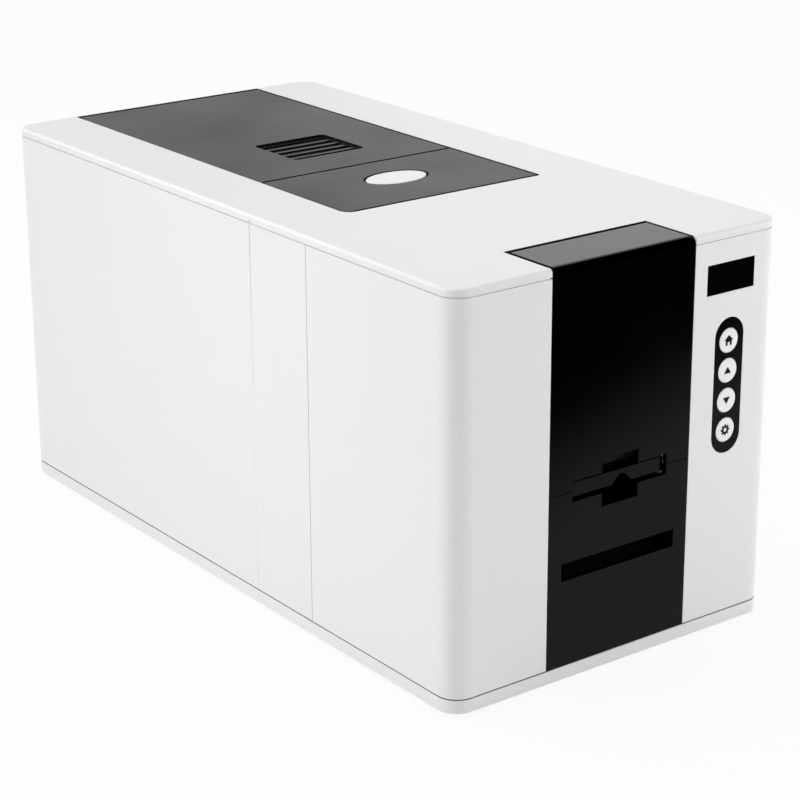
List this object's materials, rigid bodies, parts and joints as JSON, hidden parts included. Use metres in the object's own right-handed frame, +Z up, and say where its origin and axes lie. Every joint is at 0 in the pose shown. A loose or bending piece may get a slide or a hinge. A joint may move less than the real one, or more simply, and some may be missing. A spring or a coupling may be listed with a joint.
{
  "type": "id card printer",
  "caption": "Desktop plastic card printer: white casing, black front strip with hopper cover, feed and exit slots, display, keys, hinged ribbon lid with print head and fan.",
  "frame": {"origin": "middle of the footprint, on the surface the feet stand on", "axes": "+Y from the front to the rear (the longest side), +X to the right seen from the front, +Z up"},
  "size_m": [0.2, 0.4, 0.207],
  "materials": {
    "white_shell": "glossy injection moulded",
    "gloss_black": "high gloss",
    "dark_plate": "satin gloss",
    "key_white": "satin gloss",
    "screen": "clear smoked lens, high gloss",
    "rubber": "matt",
    "roller_rubber": "ground matt",
    "belt_rubber": "matt",
    "steel": "bright zinc plated",
    "screw_steel": "black oxide",
    "zinc_sheet": "galvanised sheet",
    "weight_metal": "grey powder coat",
    "aluminium": "satin",
    "motor_metal": "satin",
    "bronze": "satin",
    "inner_plastic": "fine spark texture",
    "connector_black": "satin",
    "blue_plastic": "satin",
    "gear_plastic": "satin acetal",
    "spool_plastic": "satin",
    "circuit_board": "satin solder mask",
    "ribbon_film": "glossy film"
  },
  "bodies": {
    "housing": {"base_tray": "white_shell", "rubber_feet": "rubber", "front_shell": "white_shell", "left_pillar_panel": "white_shell", "left_side_panel": "white_shell", "right_side_panel": "white_shell", "rear_panel": "white_shell", "top_cover": "white_shell", "control_plate": "dark_plate", "lower_front_panel": "gloss_black", "display_window": "screen", "control_board": "circuit_board", "keypad_bezel": "gloss_black", "card_hopper": "inner_plastic", "left_frame_plate": "steel", "right_frame_plate": "steel", "tie_rods": "steel", "card_deck": "inner_plastic", "exit_chute": "inner_plastic", "main_board": "circuit_board", "power_supply": "zinc_sheet", "power_inlet": "connector_black", "data_ports": "steel", "drive_motor": "motor_metal", "ribbon_motor": "motor_metal", "roller_bushings": "bronze", "ribbon_cradle": "blue_plastic", "hinge_pins": "steel", "panel_screws": "screw_steel", "drive_belt": "belt_rubber"},
    "hopper_cover": {"hopper_cover": "gloss_black"},
    "feed_flap": {"feed_flap": "gloss_black"},
    "card_weight": {"card_weight": "weight_metal"},
    "pick_drive": {"pick_roller": "roller_rubber", "pick_shaft": "steel"},
    "feed_drive": {"feed_roller": "roller_rubber", "feed_shaft": "steel", "drive_gear": "gear_plastic"},
    "transport_drive": {"transport_roller": "roller_rubber", "transport_shaft": "steel"},
    "platen_drive": {"platen_roller": "roller_rubber", "platen_shaft": "steel"},
    "feed_pinch": {"feed_pinch": "steel"},
    "transport_pinch": {"transport_pinch": "steel"},
    "motor_pinion": {"motor_pinion": "bronze"},
    "take_up": {"take_up_spool": "spool_plastic"},
    "supply": {"supply_spool": "spool_plastic", "supply_ribbon": "ribbon_film"},
    "lid": {"ribbon_lid": "dark_plate", "head_bracket": "zinc_sheet", "print_head": "aluminium", "fan_frame": "connector_black"},
    "fan_rotor": {"fan_rotor": "connector_black"},
    "release_button": {"release_button": "key_white"},
    "latch_hook": {"latch_hook": "steel"},
    "home_key": {"home_key": "key_white"},
    "up_key": {"up_key": "key_white"},
    "down_key": {"down_key": "key_white"},
    "setup_key": {"setup_key": "key_white"},
    "power_rocker": {"power_rocker": "connector_black"}
  },
  "joints": [
    {"name": "hopper_cover_hinge", "type": "hinge", "parent": "housing", "child": "hopper_cover", "pos_m": [0, -0.1682, 0.2046], "axis": [-1, 0, 0], "range_deg": [0, 80]},
    {"name": "feed_flap_hinge", "type": "hinge", "parent": "housing", "child": "feed_flap", "pos_m": [0, -0.1946, 0.1003], "axis": [1, 0, 0], "range_deg": [0, 70], "stiffness_Nm_per_rad": 0.0004, "springref_deg": -28.65},
    {"name": "card_weight_slide", "type": "slide", "parent": "housing", "child": "card_weight", "axis": [0, 0, 1], "range_m": [0, 0.071]},
    {"name": "feed_turn", "type": "hinge", "parent": "housing", "child": "feed_drive", "pos_m": [0, -0.088, 0.0887], "axis": [1, 0, 0], "continuous": true},
    {"name": "pick_turn", "type": "hinge", "parent": "housing", "child": "pick_drive", "pos_m": [0, -0.14, 0.0887], "axis": [1, 0, 0], "continuous": true},
    {"name": "transport_turn", "type": "hinge", "parent": "housing", "child": "transport_drive", "pos_m": [0, -0.016, 0.0887], "axis": [1, 0, 0], "continuous": true},
    {"name": "platen_turn", "type": "hinge", "parent": "housing", "child": "platen_drive", "pos_m": [0, 0.05, 0.0887], "axis": [1, 0, 0], "continuous": true},
    {"name": "feed_pinch_turn", "type": "hinge", "parent": "housing", "child": "feed_pinch", "pos_m": [0, -0.088, 0.10426], "axis": [1, 0, 0], "continuous": true},
    {"name": "transport_pinch_turn", "type": "hinge", "parent": "housing", "child": "transport_pinch", "pos_m": [0, -0.016, 0.10426], "axis": [1, 0, 0], "continuous": true},
    {"name": "motor_pinion_turn", "type": "hinge", "parent": "housing", "child": "motor_pinion", "pos_m": [0, -0.06664, 0.06735], "axis": [1, 0, 0], "continuous": true},
    {"name": "supply_turn", "type": "hinge", "parent": "housing", "child": "supply", "pos_m": [0, 0.106, 0.1221], "axis": [1, 0, 0], "continuous": true},
    {"name": "take_up_turn", "type": "hinge", "parent": "housing", "child": "take_up", "pos_m": [0, 0.01, 0.1221], "axis": [1, 0, 0], "continuous": true},
    {"name": "lid_hinge", "type": "hinge", "parent": "housing", "child": "lid", "pos_m": [0, 0.1946, 0.2046], "axis": [-1, 0, 0], "range_deg": [0, 75]},
    {"name": "fan_turn", "type": "hinge", "parent": "lid", "child": "fan_rotor", "pos_m": [0.00195, 0.0569, 0.195], "axis": [0, 0, 1], "continuous": true},
    {"name": "release_button_press", "type": "slide", "parent": "housing", "child": "release_button", "axis": [0, 0, -1], "range_m": [0, 0.0025], "stiffness_N_per_m": 400},
    {"name": "latch_hook_turn", "type": "hinge", "parent": "housing", "child": "latch_hook", "pos_m": [0, 0.0018, 0.19], "axis": [1, 0, 0], "range_deg": [0, 6]},
    {"name": "home_key_press", "type": "slide", "parent": "housing", "child": "home_key", "axis": [0, 1, 0], "range_m": [0, 0.0008], "stiffness_N_per_m": 500},
    {"name": "up_key_press", "type": "slide", "parent": "housing", "child": "up_key", "axis": [0, 1, 0], "range_m": [0, 0.0008], "stiffness_N_per_m": 500},
    {"name": "down_key_press", "type": "slide", "parent": "housing", "child": "down_key", "axis": [0, 1, 0], "range_m": [0, 0.0008], "stiffness_N_per_m": 500},
    {"name": "setup_key_press", "type": "slide", "parent": "housing", "child": "setup_key", "axis": [0, 1, 0], "range_m": [0, 0.0008], "stiffness_N_per_m": 500},
    {"name": "power_rocker_tilt", "type": "hinge", "parent": "housing", "child": "power_rocker", "pos_m": [-0.0335, 0.1935, 0.0395], "axis": [1, 0, 0], "range_deg": [0, 16]}
  ],
  "couplings": [
    {"joint": "pick_turn", "follows": "feed_turn", "ratio": 1},
    {"joint": "transport_turn", "follows": "feed_turn", "ratio": 1},
    {"joint": "platen_turn", "follows": "feed_turn", "ratio": 1},
    {"joint": "feed_pinch_turn", "follows": "feed_turn", "ratio": -1.3333},
    {"joint": "transport_pinch_turn", "follows": "feed_turn", "ratio": -1.3333},
    {"joint": "motor_pinion_turn", "follows": "feed_turn", "ratio": -4},
    {"joint": "take_up_turn", "follows": "supply_turn", "ratio": 1.9},
    {"joint": "latch_hook_turn", "follows": "release_button_press", "rad_per_m": 38.462}
  ]
}
